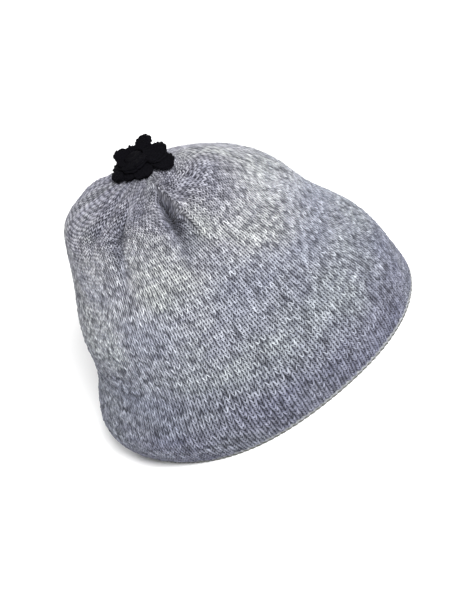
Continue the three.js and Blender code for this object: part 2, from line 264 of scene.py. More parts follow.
# The rosette's eye, by the share of the way from its foot to its middle: radius, and height above
# the crown. Its knots fade towards the middle, and stand up only where the eye turns level.
EYE_AT = (0, 0.12, 0.55, 0.7, 0.85, 1.0)
EYE_RADII = (4.8, 5.5, 5.5, 4.6, 2.6, 0.25)
EYE_FOOT = GATHER_POLE - CROWN_LEVEL
EYE_HEIGHTS = (EYE_FOOT, EYE_FOOT + 0.8, 9.2, 10.4, 10.7, 10.0)
EYE_MIDDLE = 9.9
EYE_KNOTS = 9
EYE_ROUNDS = 9
EYE_KNOT_OUT = 0.55
EYE_KNOT_UP = 0.45
EYE_FADE_OUT = 4
EYE_FADE_UP = 6
EYE_TURNS_LEVEL = (0.5, 0.8)
EYE_YARN_ROUND = 5
EYE_YARN_IN = 14
EYE_RINGS = 34
EYE_SECTION_POINTS = 72

# The camera: its place about the hat and its roll in degrees, how far off it stands, the size of a
# pixel at the hat, and the point of the hat that lies at a pixel of the picture
CAMERA_AZIMUTH = -14.0
CAMERA_ELEVATION = 29.9
CAMERA_ROLL = -32.6
CAMERA_DISTANCE = 1300.0
PHOTO_SCALE = 0.585
LOOK_POINT = (5.1, -0.8, 70.0)
LOOK_PIXEL = (219.2, 264.9)
PHOTO_SIZE = (450, 600)
SENSOR = 36.0
CLIP_END = 50

# The studio, in metres and watts. Lights: name, azimuth, elevation, distance, size, power
FLOOR_REACH = 30.0
FLOOR_TINT = (0.93, 0.93, 0.93)
FLOOR_ROUGHNESS = 0.8
LIGHT_AIM = (0, 0, 0.08)
LIGHTS = [
    ("key", 0, 40, 1.6, 0.6, 54),
    ("fill", -45, 30, 1.8, 1.4, 1.5),
    ("back", 172, 14, 1.6, 0.6, 15),
]
WORLD_STRENGTH = 0.38


def natural_spline(at, values):
    """A natural cubic spline through (at, values), as a function of an array."""
    step = np.diff(at)
    slope = np.diff(values) / step
    system = np.eye(len(at))
    pull = np.zeros(len(at))
    for i in range(1, len(at) - 1):
        system[i, i - 1:i + 2] = step[i - 1], 2 * (step[i - 1] + step[i]), step[i]
        pull[i] = 6 * (slope[i] - slope[i - 1])
    bend = np.linalg.solve(system, pull)

    def curve(t):
        i = np.clip(np.searchsorted(at, t) - 1, 0, len(step) - 1)
        q = (t - at[i]) / step[i]
        p = 1 - q
        curl = ((p ** 3 - p) * bend[i] + (q ** 3 - q) * bend[i + 1]) * step[i] ** 2 / 6
        return p * values[i] + q * values[i + 1] + curl

    return curve


SECTION = {
    name: natural_spline(SECTIONS[:, 0], SECTIONS[:, column])
    for column, name in enumerate(SECTION_COLUMNS)
}


def smoothstep(x, low, high):
    share = np.clip((x - low) / (high - low), 0, 1)
    return share * share * (3 - 2 * share)


def smooth_point(t, turn):
    """A point of the outer face before folds and dents."""
    angle = 2 * np.pi * turn
    share = np.clip(1 - t / RIM_WAVE_TOP, 0, 1) ** 2
    waves = 0
    for lobes, depth, azimuth in RIM_WAVES:
        waves = waves + depth * np.cos(lobes * (angle - math.radians(azimuth)))
    out = waves * share
    from_centre = (SECTION["half_length"](t) + out) * np.cos(angle)
    x = SECTION["centre_x"](t) + from_centre
    y = SECTION["centre_y"](t) + (SECTION["half_width"](t) + out) * np.sin(angle)
    z = SECTION["z"](t) + SECTION["slope"](t) * from_centre
    return np.stack([x, y, z + 0 * x], -1)


def unit(vectors):
    return vectors / np.maximum(np.linalg.norm(vectors, axis=-1, keepdims=True), 1e-9)


def outward(t, turn):
    """The direction in which the wall's thickness and folds are measured, level at the rim."""
    step = NORMAL_STEP
    above = np.minimum(t + step, GATHER_END)
    along_turn = smooth_point(t, turn + step) - smooth_point(t, turn - step)
    along_rise = smooth_point(above, turn) - smooth_point(t - step, turn)
    normal = np.cross(along_turn, along_rise)
    normal[..., 2] *= smoothstep(t, *SQUARE_NORMALS)
    return unit(normal)


def azimuth_about(point, x, y):
    return np.degrees(np.arctan2(point[..., 1] - y, point[..., 0] - x))


def angle_between(start, end):
    return (end - start + 540) % 360 - 180


def tuck_depth(t, azimuth):
    down = np.clip((1 - t) / TUCK_REACH, 0, 1)
    off = angle_between(TUCK_AZIMUTH + TUCK_SWING * down, azimuth)
    lip_at = np.maximum(TUCK_FAN * down, TUCK_NARROWEST)
    wall = np.exp(-(np.abs(off) / TUCK_BEFORE) ** TUCK_SHARPNESS)
    floor = 1 - np.clip(off / lip_at, 0, 1) ** TUCK_FLOOR
    lip = TUCK_LIP * np.exp(-((off - lip_at) / TUCK_LIP_WIDTH) ** 2)
    hollow = TUCK_DEPTH * np.where(off < 0, wall, floor)
    return (hollow - lip) * np.sin(np.pi * down ** FOLD_EARLY) ** TUCK_FADE


def fold_depth(t, azimuth):
    depth = 0
    for middle, before, after, deep, reach, swing in FOLDS:
        down = np.clip((1 - t) / reach, 0, 1)
        off = angle_between(middle + swing * down, azimuth)
        width = np.where(off < 0, before, after)
        crease = np.exp(-(np.abs(off) / width) ** FOLD_SHARPNESS)
        depth = depth + deep * crease * np.sin(np.pi * down ** FOLD_EARLY) ** FOLD_FADE
    return depth + tuck_depth(t, azimuth)


def dent_depth(point):
    azimuth = azimuth_about(point, 0, 0)
    depth = 0
    for middle, height, width, tall, deep in DENTS:
        off = angle_between(middle, azimuth) / width
        up = (point[..., 2] - height) / tall
        depth = depth + deep * np.exp(-off ** 2 - up ** 2)
    return depth


def wall_point(t, turn, inset):
    """A point of the folded wall, "inset" millimetres in from its outer face."""
    point = smooth_point(t, turn)
    azimuth = azimuth_about(point, GATHER_X, GATHER_Y)
    pleat = SMALL_PLEAT_DEPTH * smoothstep(t, SMALL_PLEAT_START, 1)
    pleat = pleat * 0.5 * (1 + np.cos(2 * np.pi * turn * SMALL_PLEATS))
    sunk = fold_depth(t, azimuth) + pleat + dent_depth(point)
    return point - outward(t, turn) * (sunk + inset)[..., None]


# Courses are laid off along the wall's own length, a little closer at the rim than at the crown.
def course_shares():
    """The wall's share at each course from the rim up, and the number of courses to the ring."""
    t = np.linspace(0, GATHER_END, COURSE_LINE_POINTS)
    lines = np.stack([smooth_point(t, line / COURSE_LINES) for line in range(COURSE_LINES)])
    steps = np.linalg.norm(np.diff(lines, axis=1), axis=2).mean(0)
    run = np.concatenate([[0], np.cumsum(steps)])
    start = np.interp(RIM_START, SECTION["z"](t), run)
    reach = run[-1] - start
    count = round(2 * reach / (COURSE_AT_RIM + COURSE_AT_CROWN))
    number = np.arange(count + 1)
    laid = COURSE_AT_RIM * number + (COURSE_AT_CROWN - COURSE_AT_RIM) * number ** 2 / (2 * count)
    laid = start + laid * reach / laid[-1]
    return np.interp(laid, run, t), count


def ease_table():
    """For each level, how far on from an even spread each wale's turn lies."""
    shifts = []
    around = np.array([-1, 0, 1])
    for t in EASE_LEVELS:
        azimuth = azimuth_about(smooth_point(t + 0 * EASE_TURNS, EASE_TURNS), GATHER_X, GATHER_Y)
        eased = 0
        for middle, width, share in EASED:
            eased = eased + share * np.exp(-(angle_between(middle, azimuth) / width) ** 2)
        density = 1 - EASE * smoothstep(t, EASE_FROM, EASE_TO) * eased
        laid = np.concatenate([[0], np.cumsum((density[1:] + density[:-1]) / 2)])
        laid = laid / laid[-1]
        laid = laid - np.interp(EASE_ANCHOR / 360, EASE_TURNS, laid) + EASE_ANCHOR / 360
        laid_thrice = np.add.outer(around, laid).ravel()
        turns_thrice = np.add.outer(around, EASE_TURNS).ravel()
        shifts.append(np.interp(EASE_TURNS, laid_thrice, turns_thrice) - EASE_TURNS)
    return np.array(shifts)


EASE_SHIFTS = ease_table()


def eased_turn(t, turn):
    """The turn at which a wale lies, away from an even spread."""
    spacing = EASE_LEVELS[1] - EASE_LEVELS[0]
    row = np.clip((t - EASE_LEVELS[0]) / spacing, 0, EASE_LAST_ROW)
    column = turn % 1 * (len(EASE_TURNS) - 1)
    r = row.astype(int)
    c = column.astype(int)

    def shift_in_row(index):
        start = EASE_SHIFTS[index, c]
        return start + (EASE_SHIFTS[index, c + 1] - start) * (column - c)

    low = shift_in_row(r)
    return turn + low + (shift_in_row(r + 1) - low) * (row - r)


COURSE_SHARES, WALL_COURSES = course_shares()
COURSES = WALL_COURSES + POLE_COURSES


def knit_place(course, wale):
    """The wall's share and turn at a course and a wale, both counted in stitches."""
    t = np.interp(course, np.arange(WALL_COURSES + 1), COURSE_SHARES)
    turn = FIRST_WALE_TURN + wale / WALES
    drift = np.interp(t, MIDLINE_AT, MIDLINE_X) - SECTION["centre_x"](t)
    straighten = drift * (1 - smoothstep(t, *MIDLINE_END)) / SECTION["half_length"](t)
    turn = turn - straighten * np.sin(2 * np.pi * turn) / (2 * np.pi)
    return t, eased_turn(t + 0 * turn, turn)


def knit_point(course, wale, inset=0.0):
    """A point of the wall at a course and a wale, drawn in to the pole past the ring."""
    point = wall_point(*knit_place(course, wale), inset)
    pole = np.array([GATHER_X, GATHER_Y, GATHER_POLE - inset])
    past = np.clip((course - WALL_COURSES) / POLE_COURSES, 0, 1)[..., None]
    return point + (pole - point) * past * POLE_DRAW


def painted_fold_shade(course, wale):
    """How far a place of the wall lies down in the folds, from 0 to 1: the mask of the shade
    painted there.
    """
    t, turn = knit_place(course, wale)
    azimuth = azimuth_about(smooth_point(t, turn), GATHER_X, GATHER_Y)
    return np.clip(fold_depth(t, azimuth) / TUCK_DEPTH, 0, 1)


def grid_normals(points):
    """Normals of a grid of points whose columns go round the hat."""
    across = np.roll(points, -1, axis=1) - np.roll(points, 1, axis=1)
    up = np.gradient(points, axis=0)
    return unit(np.cross(across, up))


def soft_noise(rng, rows, columns, row_cells, column_cells):
    """Smooth noise on a grid that wraps round in its columns, about -1 to 1."""
    knots = rng.uniform(-1, 1, (row_cells + 1, column_cells))
    r = np.linspace(0, row_cells, rows, endpoint=False)
    c = np.linspace(0, column_cells, columns, endpoint=False)
    r0 = r.astype(int)
    c0 = c.astype(int)
    rf = smoothstep(r - r0, 0, 1)[:, None]
    cf = smoothstep(c - c0, 0, 1)[None, :]
    c1 = (c0 + 1) % column_cells
    low = knots[r0][:, c0] * (1 - cf) + knots[r0][:, c1] * cf
    high = knots[r0 + 1][:, c0] * (1 - cf) + knots[r0 + 1][:, c1] * cf
    return low * (1 - rf) + high * rf


def layered_noise(rng, rows, columns, layers):
    """The sum of several noises, each with its cells up the wall and round it, and its share."""
    parts = (soft_noise(rng, rows, columns, up, around) * share for up, around, share in layers)
    return sum(parts)


def stitch_relief(level, in_wale, crown):
    """The height of a stitch's legs and of the dips between them, before its plumpness."""
    rib = 1 - np.abs(2 * (level % 1) - 1) ** LEG_ROUNDNESS
    crest = np.interp(in_wale, LEG_AT, LEG_CREST)
    dip = np.interp(in_wale, LEG_AT, LEG_DIP) * (1 - DIP_AT_CROWN * crown)
    return dip + (crest - dip) * rib


def knit_fields():
    """The whole knit face as a grid of points, with what the wool material reads."""
    rng = np.random.default_rng(SEED)
    rows = COURSES * OUTER_UP + 1
    columns = WALES * OUTER_ACROSS
    level = (np.arange(rows) / OUTER_UP)[:, None]
    wale = (np.arange(columns) / OUTER_ACROSS)[None, :]
    in_wale = np.abs(2 * (wale % 1) - 1)
    below_pole = smoothstep(level, *(COURSES - end for end in LOOSE_POLE_END))
    ends = smoothstep(level, *LOOSE_RIM_END) * (1 - below_pole)
    loose_wale = layered_noise(rng, rows, columns, LOOSE_WALES)
    loose_course = layered_noise(rng, rows, columns, LOOSE_COURSES)
    crown = smoothstep(level / COURSES, *CROWN_STITCHES)
    rise = LEG_RISE + (LEG_RISE_AT_CROWN - LEG_RISE) * crown
    course = level + (rise * (in_wale - 0.5) + loose_course) * ends
    course = np.clip(course, 0, COURSES)
    base = knit_point(course, wale + loose_wale * ends)
    normal = grid_normals(base)
    half_wale = OUTER_ACROSS // 2
    across = np.roll(base, -half_wale, axis=1) - np.roll(base, half_wale, axis=1)
    squeeze = np.clip(np.linalg.norm(across, axis=2) / FULL_WALE, *SQUEEZE_RANGE)
    plump = 1 + layered_noise(rng, rows, columns, PLUMPNESS)
    relief = stitch_relief(level, in_wale, crown) * plump
    worked = smoothstep(level, *WORKED_FROM)
    height = (relief - LEVEL_RELIEF) * 2 * STITCH_RELIEF * squeeze ** 0.5 * worked
    height = height - START_TUCKED * (1 - worked)
    outer = base + normal * height[..., None]
    # How deep each place lies in the folds: the mask of the shade painted into them
    painted_shade_mask = painted_fold_shade(course, wale + 0 * level)
    # The relief, held from 0 to 1, also masks the shade painted into the holes and the highlight
    # painted on the crests
    return outer, level + 0 * wale, wale + 0 * level, np.clip(relief, 0, 1), painted_shade_mask


def inner_fields():
    """The purl face inside: bumps set in the manner of bricks."""
    rows = COURSES * INNER_UP + 1
    columns = WALES * INNER_ACROSS
    level = (np.arange(rows) / INNER_UP)[:, None]
    wale = (np.arange(columns) / INNER_ACROSS)[None, :]
    base = knit_point(level + 0 * wale, wale + 0 * level, WALL - INNER_PROUD)
    normal = grid_normals(base)
    bump = np.cos(2 * np.pi * level) * 0.5 + np.cos(2 * np.pi * (wale + 0.5 * level)) * 0.5
    relief = np.clip(0.5 + 0.5 * bump, 0, 1)
    inner = base - normal * (PURL_RELIEF * (relief - 0.5))[..., None]
    # The relief that the purl face's painted shade reads, lifted so that its hollows are painted
    # less dark
    painted_shade_relief = PURL_HOLLOW_PAINTED_SHADE_LIFT + (1 - PURL_HOLLOW_PAINTED_SHADE_LIFT) * relief
    return inner, level + 0 * wale, wale + 0 * level, painted_shade_relief


def new_mesh(name, points, faces, normals=None):
    mesh = bpy.data.meshes.new(name)
    mesh.from_pydata((points * MM).tolist(), [], faces)
    mesh.polygons.foreach_set("use_smooth", np.ones(len(mesh.polygons), bool))
    if normals is not None:
        mesh.normals_split_custom_set_from_vertices(normals.tolist())
    mesh.update()
    piece = bpy.data.objects.new(name, mesh)
    bpy.context.scene.collection.objects.link(piece)
    return piece


def store(piece, name, values):
    values = np.asarray(values, np.float32)
    kind = "FLOAT" if values.ndim == 1 else "FLOAT_VECTOR"
    attribute = piece.data.attributes.new(name, kind, "POINT")
    key = "value" if values.ndim == 1 else "vector"
    attribute.data.foreach_set(key, values.ravel())


def store_bake_uv(piece, uv):
    """The map that the finish is baked on, from one place per vertex."""
    layer = piece.data.uv_layers.new(name="OFBake")
    corners = np.zeros(len(piece.data.loops), np.int32)
    piece.data.loops.foreach_get("vertex_index", corners)
    layer.data.foreach_set("uv", uv[corners].astype(np.float32).ravel())


def grid_quads(rows, columns, start=0, flip=False):
    r = np.arange(rows - 1)[:, None]
    c = np.arange(columns - 1)[None, :]
    corner = start + r * columns + c
    quads = np.stack([corner, corner + 1, corner + columns + 1, corner + columns], -1)
    quads = quads.reshape(-1, 4)
    return quads[:, ::-1] if flip else quads


def edge_strip(outer_line, inner_line, ratio, flip):
    """Faces that join a fine line of vertices to a coarse one, one face to each coarse step."""
    faces = []
    for i in range(len(inner_line) - 1):
        fine = outer_line[i * ratio:(i + 1) * ratio + 1]
        face = [*fine, inner_line[i + 1], inner_line[i]]
        faces.append(face[::-1] if flip else face)
    return faces


def sector_faces(out_shape, in_shape):
    """The knit face, the purl face, and the four edges that close them into one body."""
    start = out_shape[0] * out_shape[1]
    out_index = np.arange(start).reshape(out_shape)
    in_index = start + np.arange(in_shape[0] * in_shape[1]).reshape(in_shape)
    up = OUTER_UP // INNER_UP
    across = OUTER_ACROSS // INNER_ACROSS
    faces = grid_quads(*out_shape).tolist()
    faces += grid_quads(*in_shape, start, flip=True).tolist()
    faces += edge_strip(out_index[:, 0], in_index[:, 0], up, flip=False)
    faces += edge_strip(out_index[:, -1], in_index[:, -1], up, flip=True)
    faces += edge_strip(out_index[0], in_index[0], across, flip=True)
    faces += edge_strip(out_index[-1], in_index[-1], across, flip=False)
    return [[int(v) for v in face] for face in faces]


def sector_map(out_shape, in_shape):
    """The places of the knit face and the purl face, side by side, on the map for the finish."""
    places = []
    for (rows, columns), span in ((out_shape, OUTER_MAP), (in_shape, INNER_MAP)):
        u = np.tile(np.linspace(*span, columns), rows)
        v = np.repeat(np.linspace(*MAP_HEIGHT, rows), columns)
        places.append(np.stack([u, v], -1))
    return np.concatenate(places)


def knit_sector(name, index, outer, inner):
    """A quarter of the wall as one closed body, from its knit face to its purl face."""
    out_points, out_level, out_wale, out_painted_shade_relief, out_painted_shade = outer
    in_points, in_level, in_wale, in_painted_shade_relief = inner
    share = WALES // len(SECTOR_NAMES)
    out_count = share * OUTER_ACROSS
    in_count = share * INNER_ACROSS
    out_columns = (np.arange(out_count + 1) + index * out_count) % out_points.shape[1]
    in_columns = (np.arange(in_count + 1) + index * in_count) % in_points.shape[1]

    def joined(out_field, in_field, shape=-1):
        out_part = out_field[:, out_columns].reshape(shape)
        return np.concatenate([out_part, in_field[:, in_columns].reshape(shape)])

    out_shape = (out_points.shape[0], len(out_columns))
    in_shape = (in_points.shape[0], len(in_columns))
    points = joined(out_points, in_points, (-1, 3))
    normals = joined(grid_normals(out_points), -grid_normals(in_points), (-1, 3))
    piece = new_mesh(name, points, sector_faces(out_shape, in_shape), normals)
    level = joined(out_level, in_level)
    wale = joined(out_wale, in_wale)
    store(piece, "yarn", np.stack([wale * WALE_WIDTH, level, 0 * level], -1))
    # The depth in the folds and the relief mask the painted shade and highlight of the wool; the
    # purl face has no painted shade in folds
    store(piece, "fold_painted_shade", joined(out_painted_shade, 0 * in_level))
    store(piece, "relief", joined(out_painted_shade_relief, in_painted_shade_relief))
    store_bake_uv(piece, sector_map(out_shape, in_shape))
    return piece


# Materials. A ramp is a list of (position, colour), and a stretch says how fast a noise varies
# along each of the two ways of the yarn and across them.
EDGE_TINTS = [
    (0.25, (0.095, 0.098, 0.088)),
    (0.50, (0.110, 0.112, 0.112)),
    (0.75, (0.205, 0.210, 0.225)),
]
EDGE_HEATHER = [(0.3, (0.6, 0.6, 0.62)), (0.5, (1, 1, 1)), (0.7, (1.4, 1.4, 1.36))]
EDGE_HEATHER_STRETCH = (0.8, 2.0, 1.0)
EDGE_FIBRES = (2.2, 1.4, 0)
EDGE_FIBRE_STRENGTH = 0.6
EDGE_FINISH = {"Roughness": 0.92, "Sheen Weight": 0.2, "Specular IOR Level": 0.2}

BLACK_HEATHER = [(0.3, (0.0006, 0.0006, 0.0009)), (0.7, (0.0028, 0.0026, 0.0042))]
BLACK_HEATHER_STRETCH = (1.2, 2.4, 1.0)
BLACK_FIBRES = (1.6, 3.0, 1.0)
BLACK_FIBRE_STRENGTH = 0.7
BLACK_FINISH = {"Roughness": 1.0, "Specular IOR Level": 0.06}

# The knitted wool: its tints from the rim to the crown and how far they wander, then the streaks of
# its heather as (stretch, detail, ramp), and the shade painted into its holes and folds, with a
# highlight painted on the crests of its legs
COURSE_TINTS = [
    (0.00, (0.089, 0.092, 0.119)),
    (0.10, (0.095, 0.098, 0.125)),
    (0.25, (0.122, 0.129, 0.150)),
    (0.45, (0.151, 0.157, 0.177)),
    (0.60, (0.177, 0.181, 0.191)),
    (0.78, (0.172, 0.172, 0.189)),
    (1.00, (0.158, 0.158, 0.187)),
]
TINT_WANDER = 0.36
TINT_WANDER_STRETCH = (0.012, 0.10, 0)
TINT_WANDER_DETAIL = 2.0
BROAD_GAIN = [(0.32, (0.90, 0.91, 0.95)), (0.5, (1, 1, 1)), (0.68, (1.06, 1.08, 1.02))]
LONG_GAIN = [(0.32, (0.76, 0.76, 0.80)), (0.5, (1, 1, 1)), (0.68, (1.22, 1.22, 1.20))]
FLECK_GAIN = [(0.30, (0.48, 0.48, 0.52)), (0.5, (1, 1, 1)), (0.70, (1.55, 1.55, 1.53))]
KNIT_STREAKS = [
    ((0.022, 0.06, 0), 1.0, BROAD_GAIN),
    ((0.06, 0.50, 0), 2.0, LONG_GAIN),
    ((0.34, 1.10, 0), 1.0, FLECK_GAIN),
]
# Painted shade in the holes between the stitches and a painted highlight on the crests of the legs,
# read from the relief
KNIT_GAP_PAINTED_SHADE_AND_HIGHLIGHT = [
    (0.00, (0.02, 0.02, 0.03)),
    (0.32, (0.07, 0.07, 0.09)),
    (0.68, (0.52, 0.52, 0.55)),
    (0.95, (1.60, 1.60, 1.60)),
]
# Painted shade down in the folds, read from how deep they lie
KNIT_FOLD_PAINTED_SHADE = [
    (0.10, (1.0, 1.0, 1.0)),
    (0.45, (0.70, 0.71, 0.77)),
    (0.85, (0.24, 0.25, 0.28)),
]
KNIT_FIBRES = (1.6, 7.0, 0)
KNIT_FIBRE_STRENGTH = 0.5
KNIT_FINISH = {
    "Roughness": 0.92,
    "Sheen Weight": 0.04,
    "Sheen Roughness": 0.6,
    "Specular IOR Level": 0.2,
}
FIBRE_HEIGHT = 0.0003
FIBRE_DETAIL = 4.0
HEATHER_DETAIL = 3.0


def new_material(name, finish):
    material = bpy.data.materials.new(name)
    material.use_nodes = True
    nodes = material.node_tree.nodes
    shader = nodes["Principled BSDF"]
    for socket, value in finish.items():
        shader.inputs[socket].default_value = value
    return material, nodes, material.node_tree.links, shader


def attribute_node(nodes, name):
    node = nodes.new("ShaderNodeAttribute")
    node.attribute_name = name
    return node


def maths(nodes, links, operation, *values):
    node = nodes.new("ShaderNodeMath")
    node.operation = operation
    for socket, value in zip(node.inputs, values):
        if isinstance(value, float):
            socket.default_value = value
        else:
            links.new(value, socket)
    return node.outputs[0]


def multiply_colours(nodes, links, first, second):
    node = nodes.new("ShaderNodeMix")
    node.data_type = "RGBA"
    node.blend_type = "MULTIPLY"
    node.inputs["Factor"].default_value = 1.0
    for key, value in (("A", first), ("B", second)):
        links.new(value, next(s for s in node.inputs if s.name == key and s.type == "RGBA"))
    return next(s for s in node.outputs if s.type == "RGBA")


def ramp(nodes, links, value, stops):
    node = nodes.new("ShaderNodeValToRGB")
    links.new(value, node.inputs[0])
    elements = node.color_ramp.elements
    while len(elements) < len(stops):
        elements.new(1.0)
    for element, (position, colour) in zip(elements, stops):
        element.position = position
        element.color = (*colour, 1)
    return node.outputs["Color"]


def noise(nodes, links, vector, detail, stretch):
    mapping = nodes.new("ShaderNodeMapping")
    mapping.inputs["Scale"].default_value = stretch
    links.new(vector, mapping.inputs["Vector"])
    node = nodes.new("ShaderNodeTexNoise")
    node.inputs["Scale"].default_value = 1.0
    node.inputs["Detail"].default_value = detail
    links.new(mapping.outputs[0], node.inputs["Vector"])
    return node.outputs["Fac"]


def raise_fibres(nodes, links, shader, vector, stretch, strength):
    """The fine fibres of a yarn, raised in the finish."""
    fibres = noise(nodes, links, vector, FIBRE_DETAIL, stretch)
    bump = nodes.new("ShaderNodeBump")
    bump.inputs["Strength"].default_value = strength
    bump.inputs["Distance"].default_value = FIBRE_HEIGHT
    links.new(fibres, bump.inputs["Height"])
    links.new(bump.outputs[0], shader.inputs["Normal"])


def grey_knit_material():
    material, nodes, links, shader = new_material("grey_heather_knit", KNIT_FINISH)
    yarn = attribute_node(nodes, "yarn").outputs["Vector"]
    relief = attribute_node(nodes, "relief").outputs["Fac"]
    fold_painted_shade = attribute_node(nodes, "fold_painted_shade").outputs["Fac"]
    parts = nodes.new("ShaderNodeSeparateXYZ")
    links.new(yarn, parts.inputs[0])
    level = maths(nodes, links, "DIVIDE", parts.outputs["Y"], float(COURSES))
    drift = noise(nodes, links, yarn, TINT_WANDER_DETAIL, TINT_WANDER_STRETCH)
    wander = maths(nodes, links, "MULTIPLY_ADD", drift, TINT_WANDER, -TINT_WANDER / 2)
    place = maths(nodes, links, "ADD", level, wander)
    colour = ramp(nodes, links, place, COURSE_TINTS)
    for stretch, detail, gain in KNIT_STREAKS:
        streak = noise(nodes, links, yarn, detail, stretch)
        colour = multiply_colours(nodes, links, colour, ramp(nodes, links, streak, gain))
    # Painted shade in the holes and folds, and a painted highlight on the crests of the legs
    for value, gain in ((relief, KNIT_GAP_PAINTED_SHADE_AND_HIGHLIGHT), (fold_painted_shade, KNIT_FOLD_PAINTED_SHADE)):
        colour = multiply_colours(nodes, links, colour, ramp(nodes, links, value, gain))
    links.new(colour, shader.inputs["Base Color"])
    raise_fibres(nodes, links, shader, yarn, KNIT_FIBRES, KNIT_FIBRE_STRENGTH)
    return material


def edge_wool_material():
    """Two strands show round the rim: a light grey one, and an olive-grey one below it."""
    material, nodes, links, shader = new_material("edge_chain_wool", EDGE_FINISH)
    strand = attribute_node(nodes, "strand").outputs["Vector"]
    parts = nodes.new("ShaderNodeSeparateXYZ")
    links.new(strand, parts.inputs[0])
    colour = ramp(nodes, links, parts.outputs["Z"], EDGE_TINTS)
    heather = noise(nodes, links, strand, HEATHER_DETAIL, EDGE_HEATHER_STRETCH)
    colour = multiply_colours(nodes, links, colour, ramp(nodes, links, heather, EDGE_HEATHER))
    links.new(colour, shader.inputs["Base Color"])
    raise_fibres(nodes, links, shader, strand, EDGE_FIBRES, EDGE_FIBRE_STRENGTH)
    return material


def black_wool_material():
    material, nodes, links, shader = new_material("black_crochet_wool", BLACK_FINISH)
    yarn = attribute_node(nodes, "yarn").outputs["Vector"]
    heather = noise(nodes, links, yarn, HEATHER_DETAIL, BLACK_HEATHER_STRETCH)
    links.new(ramp(nodes, links, heather, BLACK_HEATHER), shader.inputs["Base Color"])
    raise_fibres(nodes, links, shader, yarn, BLACK_FIBRES, BLACK_FIBRE_STRENGTH)
    return material


def build_knit():
    outer = knit_fields()
    inner = inner_fields()
    material = grey_knit_material()
    for index, name in enumerate(SECTOR_NAMES):
        piece = knit_sector(name, index, outer, inner)
        finish_piece(piece, material, "knit_body")


def tube_grid(centre, radius, sides, lead):
    """Rings of points round closed paths, which "centre" holds as (paths, steps, 3). "lead" is a
    direction that is never along a path."""
    along = unit(np.roll(centre, -1, axis=1) - np.roll(centre, 1, axis=1))
    side = unit(np.cross(along, lead))
    up = np.cross(side, along)
    angle = 2 * np.pi * np.arange(sides) / sides
    ring = side[:, :, None] * np.cos(angle)[:, None] + up[:, :, None] * np.sin(angle)[:, None]
    return centre[:, :, None] + ring * radius


def closed_tube_faces(paths, steps, sides):
    step = np.arange(steps)[:, None]
    side = np.arange(sides)[None, :]
    a = step * sides + side
    b = step * sides + (side + 1) % sides
    c = (step + 1) % steps * sides + (side + 1) % sides
    d = (step + 1) % steps * sides + side
    one = np.stack([a, b, c, d], -1).reshape(-1, 4)
    return (one[None] + (np.arange(paths) * steps * sides)[:, None, None]).reshape(-1, 4)


def map_places(share, margin):
    """Shares from 0 to 1, kept clear of the edges of their part of the map."""
    return margin + (1 - 2 * margin) * share


def chain_map():
    """A cell of the map for each link."""
    link = np.arange(WALES)[:, None, None]
    along = map_places(np.arange(LINK_POINTS)[None, :, None] / LINK_POINTS, LINK_MAP_MARGIN)
    round_it = map_places(np.arange(LINK_SIDES)[None, None, :] / LINK_SIDES, LINK_MAP_MARGIN)
    u = (link % LINK_MAP_COLUMNS + along) / LINK_MAP_COLUMNS
    v = (link // LINK_MAP_COLUMNS + round_it) / LINK_MAP_ROWS
    return np.stack(np.broadcast_arrays(u, v), -1).reshape(-1, 2)


def build_rim_chain():
    """Teardrop loops, each drawn through the one before, whose two legs show as two strands."""
    phase = 2 * np.pi * np.arange(LINK_POINTS) / LINK_POINTS
    along = 0.5 - 0.5 * np.cos(phase)
    fullness = LINK_NARROW_END + (1 - LINK_NARROW_END) * smoothstep(along, 0, LINK_WIDE_FROM)
    spread = np.sin(phase) * fullness
    wale = np.arange(WALES)[:, None] + (along * LINK_REACH)[None, :]
    turn = FIRST_WALE_TURN + wale / WALES
    up = LINK_CENTRE_UP + 0 * turn
    guide = np.linspace(*LINK_GUIDE)
    level = np.interp(up, SECTION["z"](guide), guide)
    point = smooth_point(level, turn)
    lean = math.radians(LINK_LEAN)
    across = spread[None, :] * LINK_HALF_WIDTH
    lift = (along - LINK_MIDDLE)[None, :] * LINK_LIFT
    outset = LINK_CENTRE_OUT - dent_depth(point)
    outset = outset + across * math.sin(lean) + lift * math.cos(lean)
    centre = point + outward(level, turn) * outset[..., None]
    centre[..., 2] = up + across * math.cos(lean) - lift * math.sin(lean)
    grid = tube_grid(centre, LINK_YARN, LINK_SIDES, unit(np.array(LINK_LEAD)))
    faces = closed_tube_faces(WALES, LINK_POINTS, LINK_SIDES)
    piece = new_mesh("rim_chain", grid.reshape(-1, 3), faces.tolist())
    run = (wale * WALE_WIDTH)[..., None]
    side = np.arange(LINK_SIDES) / LINK_SIDES
    leg = 0.5 + 0.5 * spread[None, :, None]
    store(piece, "strand", np.stack(np.broadcast_arrays(run, side, leg), -1).reshape(-1, 3))
    store_bake_uv(piece, chain_map())
    return piece


